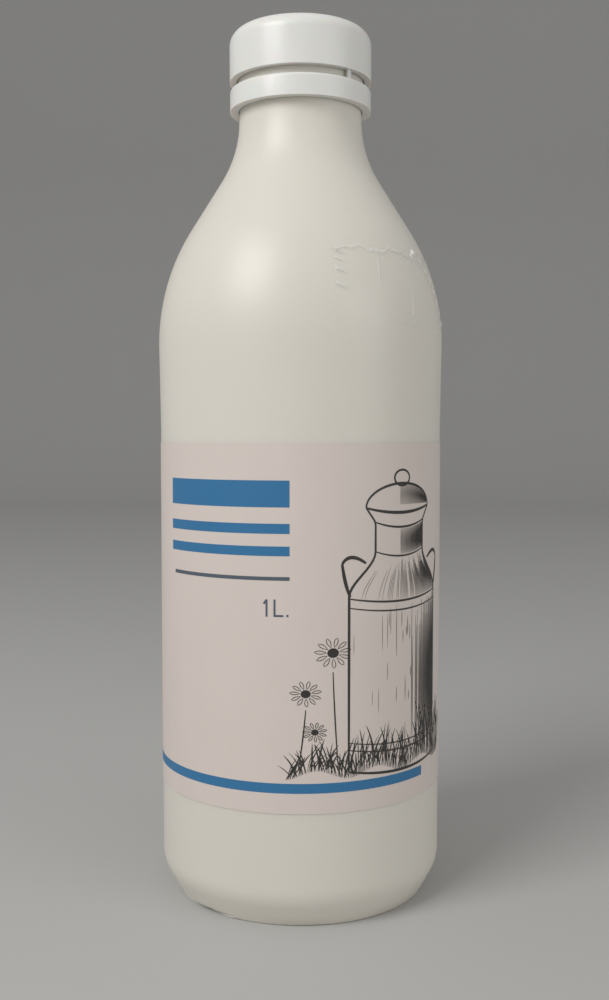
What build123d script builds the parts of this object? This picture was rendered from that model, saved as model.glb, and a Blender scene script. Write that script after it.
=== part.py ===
from build123d import *
import os
from math import asin, cos, degrees, radians, sin

# A full one-litre milk bottle: blow-moulded round body, screw cap, tamper band, wrap label and a clear film
# patch. The bottle stands on its foot ring with its axis on +Z and the origin at the middle of the ring, at
# the height of the surface it stands on. The front of the label faces -Y. Azimuths are turned from -Y
# towards +X.

os.makedirs("parts", exist_ok=True)

# ---------------------------------------------------------------------------
# Driving dimensions, in millimetres and degrees
# ---------------------------------------------------------------------------

# Body
body_radius = 42.15  # widest, just under the shoulder
wall_top = 162.4  # height where the shoulder starts to curve in
panel_recess = 0.4  # how far the label panel lies inside the widest radius
panel_lead = 4.0  # plain panel left above the label before the wall swells

# Foot
foot_inset = 4.65  # the foot's edge lies this far inside the panel wall
foot_height = 8.6  # height of the sloping foot, to its sharp corner
foot_blend = 12.0  # radius between the sloping foot and the wall
foot_edge = 0.8  # radius on the foot's outer edge
foot_ring_width = 2.6  # flat ring that the bottle stands on
push_up = 4.0  # rise of the hollow under the base

# Mould parting line: where the foot is pinched off on both sides
parting_azimuth = -45.5
pinch_flat_width = 17.4  # width of the straight flat in the foot's edge
pinch_flat_height = 1.2
pinch_groove_width = 2.0  # groove across the foot ring on the parting line
pinch_groove_depth = 0.6

# Shoulder
shoulder_radius = 62.0  # convex curve above the wall
shoulder_slope = 32.1  # steepest lean of the shoulder from the vertical
neck_blend_radius = 35.3  # concave curve into the neck

# Neck
neck_radius = 18.1
neck_straight = 2.1  # plain neck that shows under the tamper band
thread_depth = 0.5  # thread crests stand this far out, drawn as a plain cylinder
bead_depth = 1.0  # retaining bead that holds the tamper band
bead_height = 1.6
rim_chamfer = 0.6

# Tamper band
band_height = 6.25
band_wall = 1.5
band_lip_height = 1.2
band_bottom_edge = 2.1  # large radius under the band
band_top_edge = 0.9
bridge_width = 1.2
bridge_thickness = 0.8
bridge_azimuths = (44.0, 224.0)

# Cap
cap_height = 15.45
cap_wall = 2.05
cap_top_thickness = 1.6
cap_crown = 1.0  # how far the top domes up
cap_top_edge = 4.4
cap_bottom_edge = 1.0

# Label
label_bottom = 33.0
label_top_margin = 28.9  # plain wall between the label and the shoulder
label_thickness = 0.12
label_overlap = 8.0  # glued overlap at the back

# Clear film patch on the right of the shoulder
film_azimuth = 14.0  # left edge
film_sweep = 82.0
film_lower = 3.0  # lower edge, as an angle up the shoulder curve
film_upper_margin = 5.7  # angle left between its upper edge and the end of the curve
film_thickness = 0.12

# Clearances
label_glue = 0.03  # glue line under the label and under the film
band_lip_clearance = 0.25  # band lip round the plain neck
band_bead_clearance = 0.25  # band wall round the retaining bead
cap_thread_clearance = 0.3  # cap bore round the thread
cap_band_gap = 2.35  # open groove between the band and the cap

# ---------------------------------------------------------------------------
# Sizes worked out from the driving dimensions
# ---------------------------------------------------------------------------

panel_radius = body_radius - panel_recess
label_top = wall_top - label_top_margin
label_height = label_top - label_bottom
panel_top = label_top + panel_lead
foot_radius = panel_radius - foot_inset
ring_outer = foot_radius - foot_edge
ring_inner = ring_outer - foot_ring_width
push_up_radius = (ring_inner**2 + push_up**2) / (2 * push_up)

slope = radians(shoulder_slope)
cone_start_radius = body_radius - shoulder_radius * (1 - cos(slope))
cone_end_radius = neck_radius + neck_blend_radius * (1 - cos(slope))
cone_length = (cone_start_radius - cone_end_radius) / sin(slope)
cone_start = wall_top + shoulder_radius * sin(slope)
neck_start = cone_start + cone_length * cos(slope) + neck_blend_radius * sin(slope)

thread_radius = neck_radius + thread_depth
bead_radius = neck_radius + bead_depth
band_bottom = neck_start + neck_straight
bead_bottom = band_bottom + band_lip_height
bead_top = bead_bottom + bead_height
band_top = band_bottom + band_height
band_bore = bead_radius + band_bead_clearance
band_radius = band_bore + band_wall
lip_bore = neck_radius + band_lip_clearance

cap_bottom = band_top + cap_band_gap
cap_top = cap_bottom + cap_height
cap_bore = thread_radius + cap_thread_clearance
cap_radius = cap_bore + cap_wall
rim_height = cap_top - cap_crown - cap_top_thickness

label_inner = panel_radius + label_glue
label_outer = label_inner + label_thickness


def radial_plane(azimuth, distance=0.0, height=0.0):
    """Upright plane that faces outward at an azimuth; its Y is +Z."""
    outward = Vector(sin(radians(azimuth)), -cos(radians(azimuth)), 0)
    origin = outward * distance + Vector(0, 0, height)
    return Plane(origin=origin, x_dir=Vector(0, 0, 1).cross(outward), z_dir=outward)


def section_plane(azimuth):
    """Upright plane through the axis; its X points outward at an azimuth and its Y is +Z."""
    outward = Vector(sin(radians(azimuth)), -cos(radians(azimuth)), 0)
    return Plane(origin=(0, 0, 0), x_dir=outward, z_dir=outward.cross(Vector(0, 0, 1)))


# ---------------------------------------------------------------------------
# Bottle: one revolved body, full to the rim
# ---------------------------------------------------------------------------

with BuildPart() as bottle:
    with BuildSketch(Plane.XZ):
        with BuildLine():
            push_up_sweep = degrees(asin(ring_inner / push_up_radius))
            hollow = CenterArc((0, push_up - push_up_radius), push_up_radius, 90, -push_up_sweep)
            foot = FilletPolyline(
                hollow @ 1,
                (foot_radius, 0),
                (panel_radius, foot_height),
                (panel_radius, panel_top),
                radius=[foot_edge, foot_blend],
            )
            swell = Line(foot @ 1, (body_radius, wall_top))
            shoulder = JernArc(swell @ 1, (0, 1), shoulder_radius, shoulder_slope)
            cone = PolarLine(shoulder @ 1, cone_length, direction=shoulder % 1)
            neck_blend = JernArc(cone @ 1, cone % 1, neck_blend_radius, -shoulder_slope)
            finish = Polyline(
                neck_blend @ 1,
                (neck_radius, bead_bottom),
                (bead_radius, bead_bottom),
                (bead_radius, bead_top - bead_depth + thread_depth),
                (thread_radius, bead_top),
                (thread_radius, rim_height - rim_chamfer),
                (thread_radius - rim_chamfer, rim_height),
                (0, rim_height),
            )
            Line(finish @ 1, hollow @ 0)
        make_face()
    revolve(axis=Axis.Z)

    for side in (0, 180):
        # Straight flat where the tail of the blown tube is pinched off
        pinch_half_angle = asin(pinch_flat_width / 2 / foot_radius)
        pinch_distance = foot_radius * cos(pinch_half_angle)
        with BuildSketch(radial_plane(parting_azimuth + side, pinch_distance)):
            Rectangle(2 * pinch_flat_width, pinch_flat_height, align=(Align.CENTER, Align.MIN))
        extrude(amount=foot_inset, mode=Mode.SUBTRACT)
        # Groove that carries the seam across the foot ring without touching the surface
        with BuildSketch(radial_plane(parting_azimuth + side, ring_inner - foot_ring_width)):
            Rectangle(pinch_groove_width, pinch_groove_depth, align=(Align.CENTER, Align.MIN))
        extrude(amount=3 * foot_ring_width, mode=Mode.SUBTRACT)

bottle.part.label = "bottle"

# ---------------------------------------------------------------------------
# Tamper band: ring trapped under the retaining bead, with bridge stubs up to the cap
# ---------------------------------------------------------------------------

with BuildPart() as tamper_band:
    with BuildSketch(Plane.XZ) as band_section:
        with BuildLine():
            Polyline(
                (lip_bore, band_bottom),
                (band_radius, band_bottom),
                (band_radius, band_top),
                (band_bore, band_top),
                (band_bore, bead_bottom),
                (lip_bore, bead_bottom),
                close=True,
            )
        make_face()
        outer_corners = band_section.vertices().group_by(Axis.X)[-1].sort_by(Axis.Y)
        fillet(outer_corners[-1], band_top_edge)
        fillet(outer_corners[0], band_bottom_edge)
    revolve(axis=Axis.Z)

    for azimuth in bridge_azimuths:
        with BuildSketch(radial_plane(azimuth, band_bore, band_top - band_top_edge)):
            Rectangle(bridge_width, cap_band_gap + band_top_edge, align=(Align.CENTER, Align.MIN))
        extrude(amount=bridge_thickness)

tamper_band.part.label = "tamper_band"

# ---------------------------------------------------------------------------
# Cap: smooth screw cap, its inside resting on the rim of the neck
# ---------------------------------------------------------------------------

with BuildPart() as cap:
    with BuildSketch(Plane.XZ) as cap_section:
        with BuildLine():
            crown_radius = (cap_radius**2 + cap_crown**2) / (2 * cap_crown)
            crown_sweep = degrees(asin(cap_radius / crown_radius))
            crown = CenterArc((0, cap_top - crown_radius), crown_radius, 90, -crown_sweep)
            Polyline(
                crown @ 1,
                (cap_radius, cap_bottom),
                (cap_bore, cap_bottom),
                (cap_bore, rim_height),
                (0, rim_height),
                crown @ 0,
            )
        make_face()
        skirt_corners = cap_section.vertices().group_by(Axis.X)[-1].sort_by(Axis.Y)
        fillet(skirt_corners[-1], cap_top_edge)
        fillet(skirt_corners[0], cap_bottom_edge)
    revolve(axis=Axis.Z)

cap.part.label = "cap"

# ---------------------------------------------------------------------------
# Label: thin sleeve right round the panel, glued over itself at the back
# ---------------------------------------------------------------------------

with BuildPart() as label:
    with BuildSketch(Plane.XY.offset(label_bottom)):
        Circle(label_outer)
        Circle(label_inner, mode=Mode.SUBTRACT)
    extrude(amount=label_height)
    with BuildSketch(Plane.XY.offset(label_bottom)):
        Circle(label_outer + label_thickness)
        Circle(label_inner, mode=Mode.SUBTRACT)
        with Locations((0, label_inner)):
            Rectangle(label_overlap, label_overlap, mode=Mode.INTERSECT)
    extrude(amount=label_height)

label.part.label = "label"

# ---------------------------------------------------------------------------
# Film patch: clear film that follows the shoulder curve
# ---------------------------------------------------------------------------

with BuildPart() as film_patch:
    with BuildSketch(section_plane(film_azimuth)):
        with BuildLine():
            centre = (body_radius - shoulder_radius, wall_top)
            under_radius = shoulder_radius + label_glue
            film_rise = shoulder_slope - film_upper_margin - film_lower
            under = CenterArc(centre, under_radius, film_lower, film_rise)
            over = CenterArc(centre, under_radius + film_thickness, film_lower, film_rise)
            Line(under @ 0, over @ 0)
            Line(under @ 1, over @ 1)
        make_face()
    revolve(axis=Axis.Z, revolution_arc=film_sweep)

film_patch.part.label = "film_patch"

# ---------------------------------------------------------------------------
# One STEP file per piece
# ---------------------------------------------------------------------------

for piece in (bottle.part, tamper_band.part, cap.part, label.part, film_patch.part):
    export_step(piece, f"parts/{piece.label}.step")

print(f"bottle {2 * body_radius:.1f} mm across, {cap_top:.1f} mm high")
print(f"neck starts at {neck_start:.2f} mm, band {band_bottom:.2f} to {band_top:.2f} mm, rim {rim_height:.2f} mm")
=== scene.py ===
# %% [markdown]
# # A full plastic milk bottle
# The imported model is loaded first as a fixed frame. It gives every size that the pieces below need,
# so nothing has to be fitted by eye afterwards.

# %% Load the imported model
import math
import random

import bpy
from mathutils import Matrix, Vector


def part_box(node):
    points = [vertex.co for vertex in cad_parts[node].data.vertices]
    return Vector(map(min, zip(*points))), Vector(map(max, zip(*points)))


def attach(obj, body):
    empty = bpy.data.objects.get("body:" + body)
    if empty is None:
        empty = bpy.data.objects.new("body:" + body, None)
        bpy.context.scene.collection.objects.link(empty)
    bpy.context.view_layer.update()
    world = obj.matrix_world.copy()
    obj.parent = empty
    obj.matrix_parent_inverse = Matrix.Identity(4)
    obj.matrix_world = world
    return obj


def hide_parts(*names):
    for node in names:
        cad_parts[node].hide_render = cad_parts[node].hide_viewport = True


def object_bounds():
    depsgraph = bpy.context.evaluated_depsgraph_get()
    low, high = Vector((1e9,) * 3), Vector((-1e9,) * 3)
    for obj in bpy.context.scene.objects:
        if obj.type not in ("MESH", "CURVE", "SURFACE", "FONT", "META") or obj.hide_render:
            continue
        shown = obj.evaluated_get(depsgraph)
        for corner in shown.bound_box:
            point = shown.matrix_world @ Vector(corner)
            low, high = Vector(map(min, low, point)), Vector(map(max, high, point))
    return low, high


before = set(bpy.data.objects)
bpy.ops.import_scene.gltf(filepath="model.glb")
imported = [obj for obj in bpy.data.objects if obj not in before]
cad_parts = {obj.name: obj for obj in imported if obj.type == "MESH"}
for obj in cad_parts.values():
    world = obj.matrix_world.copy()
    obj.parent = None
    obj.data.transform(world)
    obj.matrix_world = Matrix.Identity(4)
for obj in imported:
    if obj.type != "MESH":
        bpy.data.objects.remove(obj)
cad_low, cad_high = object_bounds()
print("CAD box", [round(v, 4) for v in (*cad_low, *cad_high)])

# %% [markdown]
# The label, the bottle and the film patch are measured once. All sizes are in metres, and MM turns
# millimetres into them. A place on the label is given as a distance round the wall from the middle of
# the front, and a height.

# %% Sizes from the frame
MM = 0.001
label_low, label_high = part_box("label")
film_low, film_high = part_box("film_patch")
label_radius = label_high.x
bottle_radius = cad_high.x
print(f"bottle radius {bottle_radius / MM:.2f} mm")
print(f"label radius {label_radius / MM:.2f} mm, height {(label_high.z - label_low.z) / MM:.1f} mm")

# %% [markdown]
# Shader maths reads best as plain expressions, such as 0.3 + grain * 0.1. It could be wired by hand, one Math
# node at a time, but that hides the formula. So a Wire wraps one output of a material's nodes and turns
# Python's operators into Math nodes. A Finish is one material, and its node method makes any other node.

# %% Wires and finishes
# Places of the colour sockets on a Mix node
FACTOR_INPUT, COLOR_A_INPUT, COLOR_B_INPUT, COLOR_RESULT = 0, 6, 7, 2


class Wire:
    """An output socket that Python's operators work on."""

    def __init__(self, finish, socket):
        self.finish = finish
        self.socket = socket

    def maths(self, operation, other):
        return self.finish.node("ShaderNodeMath", {"operation": operation}, {0: self, 1: other})

    def __add__(self, other):
        return self.maths("ADD", other)

    def __mul__(self, other):
        return self.maths("MULTIPLY", other)

    __radd__ = __add__
    __rmul__ = __mul__


class Finish:
    """One procedural material, with its Principled shader at hand."""

    def __init__(self, name, color, **constants):
        self.material = bpy.data.materials.new(name)
        self.material.use_nodes = True
        self.tree = self.material.node_tree
        self.shader = self.tree.nodes["Principled BSDF"]
        self.shader.inputs["Base Color"].default_value = (*color, 1.0)
        for socket, value in constants.items():
            self.shader.inputs[socket.replace("_", " ")].default_value = value

    def node(self, kind, settings=None, values=None, output=0):
        made = self.tree.nodes.new(kind)
        for name, value in (settings or {}).items():
            setattr(made, name, value)
        for key, value in (values or {}).items():
            self.feed(made.inputs[key], value)
        return Wire(self, made.outputs[output])

    def feed(self, socket, value):
        if isinstance(value, Wire):
            self.tree.links.new(value.socket, socket)
        else:
            socket.default_value = value

    def noise(self, scale, detail=2.0, stretch=(1, 1, 1)):
        """Soft random pattern in the object's own space, with features about 1/scale metres wide."""
        place = self.node("ShaderNodeTexCoord", output="Object")
        stretched = self.node("ShaderNodeMapping", {}, {"Vector": place, "Scale": stretch})
        return self.node("ShaderNodeTexNoise", {}, {"Vector": stretched, "Scale": scale, "Detail": detail})

    def blend(self, factor, first, second):
        """Colour that runs from first to second as the factor goes from 0 to 1."""
        values = {FACTOR_INPUT: factor, COLOR_A_INPUT: (*first, 1), COLOR_B_INPUT: (*second, 1)}
        return self.node("ShaderNodeMix", {"data_type": "RGBA"}, values, COLOR_RESULT)

    def bump(self, height, depth):
        """Fine relief: a height from 0 to 1 stands for depth metres."""
        relief = self.node("ShaderNodeBump", {}, {"Height": height, "Distance": depth, "Strength": 1.0})
        self.feed(self.shader.inputs["Normal"], relief)


# %% [markdown]
# The bottle is blow-moulded polyethylene: a warm white, a little translucent, with a satin skin that is
# never perfectly even. A slow noise moves the colour and the gloss, and a fainter relief gives the slight
# waviness of a blown wall. The closure is the same plastic, moulded in steel, so it is whiter and smoother.

# %% Plastics
bottle_white = (0.735, 0.700, 0.625)
bottle_finish = Finish(
    "blown_polyethylene", bottle_white, Subsurface_Weight=0.25, Subsurface_Scale=0.006, IOR=1.5
)
bottle_finish.shader.inputs["Subsurface Radius"].default_value = (1.0, 0.8, 0.6)
clouding = bottle_finish.noise(14)
bottle_finish.feed(
    bottle_finish.shader.inputs["Base Color"],
    bottle_finish.blend(clouding, (0.715, 0.680, 0.600), (0.755, 0.722, 0.650)),
)
bottle_finish.feed(bottle_finish.shader.inputs["Roughness"], 0.33 + clouding * 0.12)
waviness = bottle_finish.noise(35, 1.0, (1, 1, 0.6)) + bottle_finish.noise(900, 2.0) * 0.03
bottle_finish.bump(waviness, 0.25 * MM)

closure_white = (0.80, 0.785, 0.745)
closure_finish = Finish("closure_plastic", closure_white, Subsurface_Weight=0.3, Subsurface_Scale=0.004)
closure_grain = closure_finish.noise(60)
closure_finish.feed(
    closure_finish.shader.inputs["Base Color"],
    closure_finish.blend(closure_grain, (0.785, 0.768, 0.728), (0.815, 0.800, 0.765)),
)
closure_finish.feed(closure_finish.shader.inputs["Roughness"], 0.26 + closure_grain * 0.12)
closure_finish.bump(closure_finish.noise(1400, 2.0), 0.02 * MM)
print("plastics:", bottle_finish.material.name, closure_finish.material.name)

# %% [markdown]
# The label is a satin film, greyer and pinker than the bottle, printed before it was wrapped round. Its ink
# lies a few hundredths of a millimetre thick on top, so each ink is a piece of its own.

# %% Label and inks
label_finish = Finish("label_film", (0.705, 0.625, 0.575), IOR=1.45)
fibres = label_finish.noise(120, 3.0, (1, 1, 0.5))
label_finish.feed(
    label_finish.shader.inputs["Base Color"],
    label_finish.blend(fibres, (0.690, 0.610, 0.560), (0.720, 0.640, 0.590)),
)
label_finish.feed(label_finish.shader.inputs["Roughness"], 0.42 + fibres * 0.14)
label_finish.bump(label_finish.noise(25, 1.0, (1, 1, 0.25)), 0.18 * MM)


def ink_finish(name, color, worn):
    """Printed ink: a flat colour that a fine grain thins a little."""
    finish = Finish(name, color, IOR=1.45)
    grain = finish.noise(2500, 2.0)
    finish.feed(finish.shader.inputs["Base Color"], finish.blend(grain, color, worn))
    finish.feed(finish.shader.inputs["Roughness"], 0.38 + grain * 0.15)
    return finish


blue_ink = ink_finish("blue_ink", (0.022, 0.155, 0.345), (0.045, 0.195, 0.385))
slate_ink = ink_finish("slate_ink", (0.070, 0.095, 0.130), (0.110, 0.135, 0.165))
charcoal_ink = ink_finish("charcoal_ink", (0.022, 0.020, 0.017), (0.050, 0.045, 0.040))
print("inks:", [ink.material.name for ink in (blue_ink, slate_ink, charcoal_ink)])

# %% [markdown]
# The body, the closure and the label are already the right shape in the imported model, so they aren't modelled
# again. A CAD node arrives as loose triangles, though. A copy of each piece is merged and shaded smooth, with
# its true edges kept sharp, and the copy stands for the node.

# %% Moulded pieces
DOUBLES = 0.001 * MM
SHARPEST_SMOOTH = math.radians(22)


def only(piece):
    """Makes one object the active and only selected one."""
    bpy.ops.object.select_all(action="DESELECT")
    piece.select_set(True)
    bpy.context.view_layer.objects.active = piece


def settle(piece, finish, slot, *nodes):
    """Gives a finished piece its material and its place in the frame."""
    piece.data.materials.clear()
    piece.data.materials.append(finish.material)
    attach(piece, "root")
    if nodes:
        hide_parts(*nodes)
    print(piece.name, len(piece.data.vertices), "vertices")


def moulded_copy(node, name, finish, slot):
    """Merges and smooths a copy of a CAD node, which then stands for the node."""
    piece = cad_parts[node].copy()
    piece.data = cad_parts[node].data.copy()
    piece.name = name
    for key in list(piece.keys()):
        del piece[key]
    bpy.context.scene.collection.objects.link(piece)
    piece.parent = None
    only(piece)
    bpy.ops.mesh.customdata_custom_splitnormals_clear()
    bpy.ops.object.mode_set(mode="EDIT")
    bpy.ops.mesh.select_all(action="SELECT")
    bpy.ops.mesh.remove_doubles(threshold=DOUBLES)
    bpy.ops.object.mode_set(mode="OBJECT")
    bpy.ops.object.shade_smooth_by_angle(angle=SHARPEST_SMOOTH)
    settle(piece, finish, slot, node)


moulded_copy("bottle", "bottle_body", bottle_finish, "bottle")
moulded_copy("cap", "screw_cap", closure_finish, "closure")
moulded_copy("tamper_band", "tamper_ring", closure_finish, "closure")
moulded_copy("label", "wrap_label", label_finish, "label")

# %% [markdown]
# Print is laid out flat, as at the printer's, and then wrapped: a Simple Deform bend turns the sheet's width
# into an angle round the bottle's axis. The sheet needs an edge about every millimetre to follow the curve.

# %% Wrap a flat print round the label
INK_RADIUS = label_radius + 0.04 * MM
INK_THICKNESS = 0.02 * MM


def join(pieces, name):
    """Makes one named object of several."""
    bpy.ops.object.select_all(action="DESELECT")
    for piece in pieces:
        piece.select_set(True)
    bpy.context.view_layer.objects.active = pieces[0]
    if len(pieces) > 1:
        bpy.ops.object.join()
    pieces[0].name = name
    return pieces[0]


def wrap(piece, finish):
    """Bends a flat print that faces -Y round the label and gives the ink its thickness."""
    xs = [vertex.co.x for vertex in piece.data.vertices]
    only(piece)
    bend = piece.modifiers.new("wrap", "SIMPLE_DEFORM")
    bend.deform_method = "BEND"
    bend.deform_axis = "Z"
    bend.angle = (max(xs) - min(xs)) / INK_RADIUS
    ink = piece.modifiers.new("ink", "SOLIDIFY")
    ink.thickness = INK_THICKNESS
    for modifier in ("wrap", "ink"):
        bpy.ops.object.modifier_apply(modifier=modifier)
    piece.location = (0, -INK_RADIUS, 0)
    bpy.ops.object.transform_apply(location=True)
    settle(piece, finish, "label")


def field(left, right, bottom, top):
    """A flat rectangle of print, in millimetres round the wall and up from the foot."""
    bpy.ops.object.select_all(action="DESELECT")
    bpy.ops.mesh.primitive_grid_add(
        x_subdivisions=max(2, round(right - left)),
        y_subdivisions=1,
        size=1,
        location=((left + right) / 2 * MM, 0, (bottom + top) / 2 * MM),
        rotation=(math.pi / 2, 0, 0),
    )
    piece = bpy.context.object
    piece.scale = ((right - left) * MM, (top - bottom) * MM, 1)
    bpy.ops.object.transform_apply(location=True, rotation=True, scale=True)
    return piece


# %% [markdown]
# The front of the label has a blue stripe near its foot, and above it a block of fields in the same blue, one
# tall and two low, with a thin slate rule under them. The fields stand where a pack has its wording.

# %% Stripe and fields
STRIPE_BOTTOM, STRIPE_TOP = 38.7, 41.4
STRIPE_START_AZIMUTH, STRIPE_END_AZIMUTH = -165, 55.6
FIELD_LEFT, FIELD_RIGHT = -43.9, -2.8
FIELD_HEIGHTS = ((116.4, 123.6), (109.3, 112.0), (103.3, 105.9))
RULE_LEFT, RULE_BOTTOM, RULE_TOP = -42.3, 96.7, 97.7

stripe_end = math.radians(STRIPE_END_AZIMUTH) * label_radius / MM
stripe_start = math.radians(STRIPE_START_AZIMUTH) * label_radius / MM
wrap(join([field(stripe_start, stripe_end, STRIPE_BOTTOM, STRIPE_TOP)], "blue_stripe"), blue_ink)
blue_fields = [field(FIELD_LEFT, FIELD_RIGHT, bottom, top) for bottom, top in FIELD_HEIGHTS]
wrap(join(blue_fields, "blue_fields"), blue_ink)
wrap(join([field(RULE_LEFT, FIELD_RIGHT, RULE_BOTTOM, RULE_TOP)], "slate_rule"), slate_ink)

# %% [markdown]
# Pen strokes are ribbons that swell and taper. A drawing has hundreds, so each is written straight into one
# mesh as a strip of faces, which no primitive could give as simply.

# %% Pen strokes
class Drawing:
    """Collects tapered ribbons, in millimetres on the flat label, and makes them one mesh."""

    def __init__(self, seed):
        self.vertices = []
        self.faces = []
        self.draw = random.Random(seed)

    def stroke(self, points, width, taper=0.25):
        """A ribbon through the points; its ends are taper times as wide as its middle."""
        line = [Vector(point) for point in points]
        first = len(self.vertices)
        count = len(line)
        for i, here in enumerate(line):
            along = (line[min(i + 1, count - 1)] - line[max(i - 1, 0)]).normalized()
            swell = taper + (1 - taper) * math.sin(math.pi * i / (count - 1))
            side = Vector((-along.y, along.x)) * width * swell / 2
            for edge in (here + side, here - side):
                self.vertices.append((edge.x * MM, 0, edge.y * MM))
        for i in range(count - 1):
            low = first + 2 * i
            self.faces.append((low, low + 1, low + 3, low + 2))

    def arc(self, start, middle, end, width, taper=0.25, steps=10):
        """A stroke on the parabola pulled towards a middle point."""
        a, b, c = Vector(start), Vector(middle), Vector(end)
        points = []
        for i in range(steps + 1):
            t = i / steps
            points.append(a * (1 - t) ** 2 + b * (2 * t * (1 - t)) + c * t * t)
        self.stroke(points, width, taper)

    def blot(self, centre, radius_x, radius_y, sides=10):
        """A filled oval."""
        first = len(self.vertices)
        for i in range(sides):
            angle = 2 * math.pi * i / sides
            u = centre[0] + radius_x * math.cos(angle)
            v = centre[1] + radius_y * math.sin(angle)
            self.vertices.append((u * MM, 0, v * MM))
        self.faces.append(tuple(range(first, first + sides)))

    def piece(self, name):
        """The whole drawing as one flat object that faces -Y."""
        mesh = bpy.data.meshes.new(name)
        mesh.from_pydata(self.vertices, [], self.faces)
        piece = bpy.data.objects.new(name, mesh)
        bpy.context.scene.collection.objects.link(piece)
        only(piece)
        bpy.ops.object.mode_set(mode="EDIT")
        bpy.ops.mesh.select_all(action="SELECT")
        bpy.ops.mesh.normals_make_consistent(inside=False)
        bpy.ops.object.mode_set(mode="OBJECT")
        if sum(polygon.normal.y * polygon.area for polygon in mesh.polygons) > 0:
            mesh.flip_normals()
        return piece


# %% [markdown]
# "1 L." is the plain volume of the filling. A text object would bring a font's own letters, so the mark is
# drawn with five upright pen strokes of one weight, in slate.

# %% Volume mark
PEN_WIDTH, EVEN = 0.55, 1.0
MARK_BOTTOM, MARK_TOP = 86.9, 91.6
ONE, ELL, ELL_END, STOP = -9.1, -6.9, -4.5, -3.4

volume = Drawing(1)
mark_strokes = (
    ((ONE - 0.8, 90.4), (ONE, 91.5)),
    ((ONE, MARK_TOP), (ONE, MARK_BOTTOM)),
    ((ELL, MARK_TOP), (ELL, MARK_BOTTOM)),
    ((ELL - 0.2, 87.15), (ELL_END, 87.15)),
    ((STOP, 87.5), (STOP, MARK_BOTTOM)),
)
for pen_path in mark_strokes:
    volume.stroke(pen_path, PEN_WIDTH, EVEN)
wrap(volume.piece("volume_mark"), slate_ink)

# %% [markdown]
# The right of the label carries a pen drawing: a milk churn in a meadow. Its outline comes first. The churn
# is a turned shape, so one function gives half its width at any height, and every line on it follows from
# that. Rings sag a little towards the middle, which makes the churn look round.

# %% Outline of the churn
churn = Drawing(7)
CHURN_MIDDLE = 31.0
BODY_HALF_WIDTH, NECK_HALF_WIDTH, MOUTH_HALF_WIDTH = 17.5, 9.5, 12.5
FOOT, BODY_TOP, NECK_BOTTOM, NECK_TOP, MOUTH = 44, 92, 104, 112, 116
RING_SAG = 1.6


def churn_half_width(height):
    """Half the churn's width at a height: body, shoulder, neck and flared mouth."""
    if height < BODY_TOP:
        return BODY_HALF_WIDTH
    if height < NECK_BOTTOM:
        t = (height - BODY_TOP) / (NECK_BOTTOM - BODY_TOP)
        return BODY_HALF_WIDTH - (BODY_HALF_WIDTH - NECK_HALF_WIDTH) * (3 * t * t - 2 * t**3)
    if height < NECK_TOP:
        return NECK_HALF_WIDTH
    flare = (height - NECK_TOP) / (MOUTH - NECK_TOP)
    return NECK_HALF_WIDTH + (MOUTH_HALF_WIDTH - NECK_HALF_WIDTH) * flare


def churn_line(share, low, high, steps):
    """Points up the churn at a share of its half width, from -1 at the left edge to 1 at the right."""
    heights = [low + (high - low) * i / steps for i in range(steps + 1)]
    sag = RING_SAG * (1 - share * share)
    return [(CHURN_MIDDLE + share * churn_half_width(h), h - sag) for h in heights]


def oval(height, half_width, rise, turn, steps):
    """Points on an oval over the churn's middle, through an angle from its right end."""
    angles = [turn * i / steps for i in range(steps + 1)]
    return [(CHURN_MIDDLE + half_width * math.cos(a), height + rise * math.sin(a)) for a in angles]


for share in (-1, 1):
    churn.stroke(churn_line(share, FOOT, MOUTH, 60), 0.75, 0.7)
ring_widths = {
    FOOT: 0.8, 50: 0.45, 52: 0.35, 89: 0.45, 91.5: 0.6, NECK_BOTTOM: 0.5, NECK_TOP: 0.6, MOUTH: 0.9
}
for height, width in ring_widths.items():
    churn.stroke([churn_line(i / 12, height, height, 1)[0] for i in range(-12, 13)], width, 0.6)
churn.stroke(oval(MOUTH, MOUTH_HALF_WIDTH, 6.5, math.pi, 24), 0.7, 0.7)
churn.stroke(oval(124, 3.0, 2.2, 2 * math.pi, 16), 0.6, 0.9)
for side in (-1, 1):
    handle = ((12.5, 101), (17.5, 104.5), (19.5, 101), (18.8, 95.5), (17.2, 92))
    grip = [(CHURN_MIDDLE + side * x, z) for x, z in handle]
    churn.arc(grip[0], grip[1], grip[2], 1.0, 0.7)
    churn.arc(grip[2], grip[3], grip[4], 1.0, 0.7)
print("churn outline", len(churn.faces), "faces")

# %% [markdown]
# An engraver shades with hatching. Each line climbs the churn at its own share of the width, and the lines
# get thicker, longer and closer towards the right, so the churn turns away from the light. Broken lines and
# random ends keep it from looking ruled.

# %% Hatching
HATCH_LINES = 64
HATCH_START, HATCH_SWEEP, HATCH_CROWDING = -0.92, 1.9, 0.75
HATCH_FOOT, HATCH_TOP = 45, 91
LID_FOOT, LID_EDGE, LID_RISE, LID_HALF_WIDTH = 116.6, 117, 5.5, 12


def hatch_body(share, dark):
    """One line up the churn's body, broken in three where the shade is light."""
    breaks = 1 if dark > 0.45 else 3
    length = (HATCH_TOP - HATCH_FOOT) / breaks
    for part in range(breaks):
        low = HATCH_FOOT + length * part + churn.draw.uniform(0, 3 + 12 * (1 - dark))
        high = HATCH_FOOT + length * (part + 1) - churn.draw.uniform(0, 4 + 14 * (1 - dark))
        if high - low > 2 and churn.draw.random() < 0.35 + dark:
            churn.stroke(churn_line(share, low, min(high, HATCH_TOP), 16), 0.10 + 0.25 * dark, 0.2)


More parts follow.
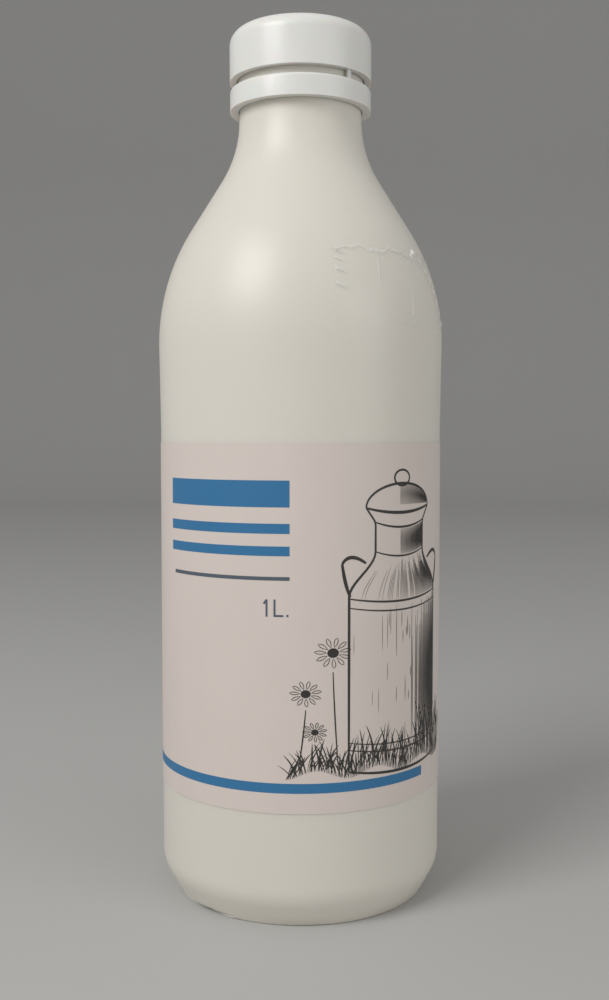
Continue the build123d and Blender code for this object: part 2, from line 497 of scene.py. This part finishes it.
def hatch_neck_and_lid(share, dark):
    """One line up the neck and one on the lid, where the shade is dark enough."""
    lid_top = LID_EDGE + LID_RISE * math.sqrt(max(0.0, 1 - share * share))
    lid_heights = (LID_FOOT, (LID_FOOT + lid_top) / 2, lid_top)
    churn.stroke(churn_line(share, 104.5, 111.5, 8), 0.07 + 0.13 * dark, 0.3)
    lid_line = [(CHURN_MIDDLE + LID_HALF_WIDTH * share, h) for h in lid_heights]
    churn.stroke(lid_line, 0.08 + 0.17 * dark, 0.4)


for i in range(HATCH_LINES):
    share = HATCH_START + HATCH_SWEEP * (i / (HATCH_LINES - 1)) ** HATCH_CROWDING
    dark = max(0.0, (share + 0.35) / 1.33)
    hatch_body(share, dark)
    if churn.draw.random() < 0.3 + dark:
        shoulder = churn_line(share, BODY_TOP, 102 + churn.draw.uniform(-3, 1.5), 10)
        churn.stroke(shoulder, 0.09 + 0.17 * dark, 0.2)
    if dark > 0.2:
        hatch_neck_and_lid(share, dark)
print("with hatching", len(churn.faces), "faces")

# %% [markdown]
# Grass hides the churn's foot. Each blade is one quick curved stroke, thin at both ends, and the blades stand
# at random on slightly wavy ground. They grow taller to the right.

# %% Grass
GRASS_BLADES = 170
MEADOW_LEFT, MEADOW_WIDTH = -4, 58
for i in range(GRASS_BLADES):
    foot = MEADOW_LEFT + MEADOW_WIDTH * (i + churn.draw.random()) / GRASS_BLADES
    tall = churn.draw.uniform(4, 12) * (0.55 + 0.45 * min(1.0, (foot + 6) / 22)) + (6 if foot > 40 else 0)
    lean = churn.draw.uniform(-4, 4)
    ground = 43.6 + 1.2 * math.sin(foot * 0.35)
    bow = (foot + lean * 0.2, ground + tall * 0.6)
    tip = (foot + lean, ground + tall)
    churn.arc((foot, ground), bow, tip, churn.draw.uniform(0.2, 0.5), 0.15, 8)
print("with grass", len(churn.faces), "faces")

# %% [markdown]
# Three open flowers fill the meadow's left. One function draws a flower of any size, and the finished drawing
# is then wrapped round the label like the other prints.

# %% Daisies
PETALS = 11
STALK_FOOT = 45


def daisy(u, v, size, lean):
    """An open flower on its stalk: narrow petals round a dark eye."""
    bow = (u + lean * 0.2, STALK_FOOT + (v - STALK_FOOT) * 0.5)
    churn.arc((u + lean, STALK_FOOT), bow, (u, v - size), 0.4, 0.6, 12)
    churn.blot((u, v), size * 0.32, size * 0.26)
    for i in range(PETALS):
        angle = 2 * math.pi * i / PETALS + 0.2
        tip = (u + size * math.cos(angle), v + size * 0.8 * math.sin(angle))
        root = (u + 0.35 * size * math.cos(angle), v + 0.3 * size * math.sin(angle))
        for bulge in (-0.256, 0.256):
            across = angle + bulge
            middle = (math.cos(across) * size * 0.8 + u, math.sin(across) * size * 0.66 + v)
            churn.arc(root, middle, tip, 0.2, 0.5, 5)


daisy(1.5, 66, 4.4, -2)
daisy(9.0, 77, 5.2, 1.5)
daisy(4.0, 55.5, 3.4, 2)
wrap(churn.piece("pen_drawing"), charcoal_ink)

# %% [markdown]
# A patch of clear film sticks to the right of the shoulder. It puckered where it didn't lie flat: in short
# wrinkles at its left edge, along its wavy top edge, in a curl near the top right, in two upright creases and
# in a row of dents down the right. Cloth physics could make such folds, but not in these places. So each fold
# is a smooth hump in one formula for the film's lift, by azimuth in degrees and height in millimetres.

# %% How far the film lifts
FILM_LEFT = 13.5
FILM_RIGHT = 96.0
WRINKLES = ((187.4, 3.2), (184.6, 2.6), (181.2, 3.4), (176.6, 3.0))
WRINKLE_SLANT = 0.28
TOP_EDGE = 188.2
DENTS = 7


def hump(value, centre, width):
    """A smooth bump of height 1 round a centre."""
    return math.exp(-(((value - centre) / width) ** 2))


def film_lift(azimuth, height):
    """How far the film stands off the bottle, in millimetres."""
    lift = 0.0
    for ridge, reach in WRINKLES:
        slant = (azimuth - FILM_LEFT) * WRINKLE_SLANT
        lift += 0.55 * hump(height, ridge - slant, 0.55) * hump(azimuth, FILM_LEFT + 1.5, reach)
    wave = TOP_EDGE + 0.7 * math.sin(azimuth * 0.33) + 0.4 * math.sin(azimuth * 0.81)
    lift += 0.40 * hump(height, wave, 0.6) * (1 if azimuth < 60 else 0.6)
    # The curl near the top right, and the two upright creases
    lift += 0.9 * hump(azimuth, 56.0 + (height - 188) * 0.8, 1.1) * hump(height, 188.6, 2.2)
    lift += 0.35 * hump(azimuth, 33.5 - (186 - height) * 0.15, 0.7) * hump(height, 181.5, 5.0)
    lift += 0.30 * hump(azimuth, 48.6 + (height - 170) * 0.05, 0.9) * hump(height, 170.5, 7.5)
    for i in range(DENTS):
        lift += 0.45 * hump(azimuth, 63 + 2.4 * i, 1.0) * hump(height, 186.5 - 3.1 * i, 1.3)
    return lift


print("lift at the left edge", round(film_lift(FILM_LEFT, WRINKLES[0][0]), 2), "mm")

# %% [markdown]
# The film itself starts as a flat grid. Its vertices are laid round the wall, a Shrinkwrap modifier draws
# them onto the bottle, and the lift then moves them off it again. The lift is kept as an attribute too, and
# the film is painted whiter where it puckers: a painted glint for the light that puckered film reflects, as
# flat film hardly shows. The lift is kept as an attribute too,
# because puckered film looks whiter than flat film, which hardly shows.

# %% Clear film patch
FILM_GAP = 0.06 * MM
UPWARD_SHARE = 0.55
film_white = (0.92, 0.91, 0.88)
film_finish = Finish("clear_film", film_white, Roughness=0.14, IOR=1.5, Coat_Weight=1.0, Coat_Roughness=0.06)

bpy.ops.object.select_all(action="DESELECT")
bpy.ops.mesh.primitive_grid_add(x_subdivisions=220, y_subdivisions=90, size=1)
film = bpy.context.object
film.name = "film_sheet"
film.data.attributes.new("lift", "FLOAT", "POINT")
lifts = []
for vertex in film.data.vertices:
    azimuth = FILM_LEFT + (vertex.co.x + 0.5) * (FILM_RIGHT - FILM_LEFT)
    height = film_low.z / MM + (vertex.co.y + 0.5) * (film_high.z - film_low.z) / MM
    lifts.append(film_lift(azimuth, height))
    turn = math.radians(azimuth)
    vertex.co = (math.sin(turn) * bottle_radius, -math.cos(turn) * bottle_radius, height * MM)
only(film)
hold = film.modifiers.new("hold", "SHRINKWRAP")
hold.target = bpy.data.objects["bottle_body"]
hold.wrap_method = "NEAREST_SURFACEPOINT"
hold.offset = FILM_GAP
bpy.ops.object.modifier_apply(modifier="hold")
for vertex, lift in zip(film.data.vertices, lifts):
    outward = Vector((vertex.co.x, vertex.co.y, UPWARD_SHARE * vertex.co.xy.length)).normalized()
    vertex.co += outward * lift * MM
# Painted glint: the stronger the puckering, the more opaque and white the film is made
crease_glint_strengths = [min(1.0, lift * 2) for lift in lifts]
film.data.attributes["lift"].data.foreach_set("value", crease_glint_strengths)
bpy.ops.object.shade_smooth()
# Painted glint: alpha rises on the creases, so they show as whiter film in place of the light they reflect
painted_crease_glint = film_finish.node("ShaderNodeAttribute", {"attribute_name": "lift"}, output="Fac")
film_finish.feed(film_finish.shader.inputs["Alpha"], 0.05 + painted_crease_glint * 0.6)
settle(film, film_finish, "film", "film_patch")

# %% [markdown]
# The stage is a pale sweep: a floor that turns up into a backdrop. It could be two planes, but the line
# between them would show. So the floor's back edge is extruded upwards and the corner is bevelled wide.

# %% Floor and backdrop
FLOOR_SIZE = 4
BACKDROP_HEIGHT = 2.5
BACK_LINE = 1.9
bpy.ops.object.select_all(action="DESELECT")
bpy.ops.mesh.primitive_plane_add(size=FLOOR_SIZE, location=(0, 0.6, 0))
floor = bpy.context.object
floor.name = "sweep"
bpy.ops.object.mode_set(mode="EDIT")
bpy.ops.mesh.select_mode(type="EDGE")
bpy.ops.mesh.select_all(action="DESELECT")
bpy.ops.object.mode_set(mode="OBJECT")
for edge in floor.data.edges:
    edge.select = all(floor.data.vertices[v].co.y > BACK_LINE for v in edge.vertices)
bpy.ops.object.mode_set(mode="EDIT")
bpy.ops.mesh.extrude_region_move(TRANSFORM_OT_translate={"value": (0, 0, BACKDROP_HEIGHT)})
bpy.ops.object.mode_set(mode="OBJECT")
turn_up = floor.modifiers.new("sweep", "BEVEL")
turn_up.width = 0.8
turn_up.segments = 24
bpy.ops.object.modifier_apply(modifier="sweep")
bpy.ops.object.shade_smooth()
floor_finish = Finish("pale_floor", (0.50, 0.495, 0.48), Roughness=0.75)
floor_grain = floor_finish.noise(8)
floor_finish.feed(
    floor_finish.shader.inputs["Base Color"],
    floor_finish.blend(floor_grain, (0.495, 0.49, 0.475), (0.505, 0.50, 0.485)),
)
floor.data.materials.append(floor_finish.material)
print("stage", floor.name)

# %% [markdown]
# Soft studio light: a large key from the upper left, where the bottle's highlight lies, a weak fill from the
# right and an even grey world. The view transform is Standard, so a colour shows as it is written.

# %% Light
LAMP_AIM = Vector((0, 0, 0.13))


def lamp(name, place, size, watts):
    """A square area lamp that points at the middle of the bottle."""
    light = bpy.data.lights.new(name, "AREA")
    light.size = size
    light.energy = watts
    holder = bpy.data.objects.new(name, light)
    holder.location = place
    aim = LAMP_AIM - Vector(place)
    holder.rotation_euler = aim.to_track_quat("-Z", "Y").to_euler()
    bpy.context.scene.collection.objects.link(holder)
    print(name, watts, "W")


lamp("key", (-0.55, -0.55, 0.75), 0.5, 5.5)
lamp("fill", (0.8, -0.6, 0.35), 0.6, 1.6)
world = bpy.data.worlds.new("studio")
world.use_nodes = True
world.node_tree.nodes["Background"].inputs["Color"].default_value = (0.42, 0.42, 0.42, 1)
bpy.context.scene.world = world
bpy.context.scene.view_settings.view_transform = "Standard"

# %% [markdown]
# The camera stands close, a little above the middle of the bottle, and looks slightly down on it. That is how
# a person sees a bottle on a kitchen top, so its foot and its label's edges bow downwards.

# %% Camera
CAMERA_PITCH = math.radians(3.33)
camera = bpy.data.objects.new("camera", bpy.data.cameras.new("camera"))
camera.data.lens = 42.0
camera.location = (0.0012, -0.3527, 0.1365)
camera.rotation_euler = (math.pi / 2 - CAMERA_PITCH, 0, 0)
bpy.context.scene.collection.objects.link(camera)
bpy.context.scene.camera = camera
print("camera at", [round(v, 4) for v in camera.location])
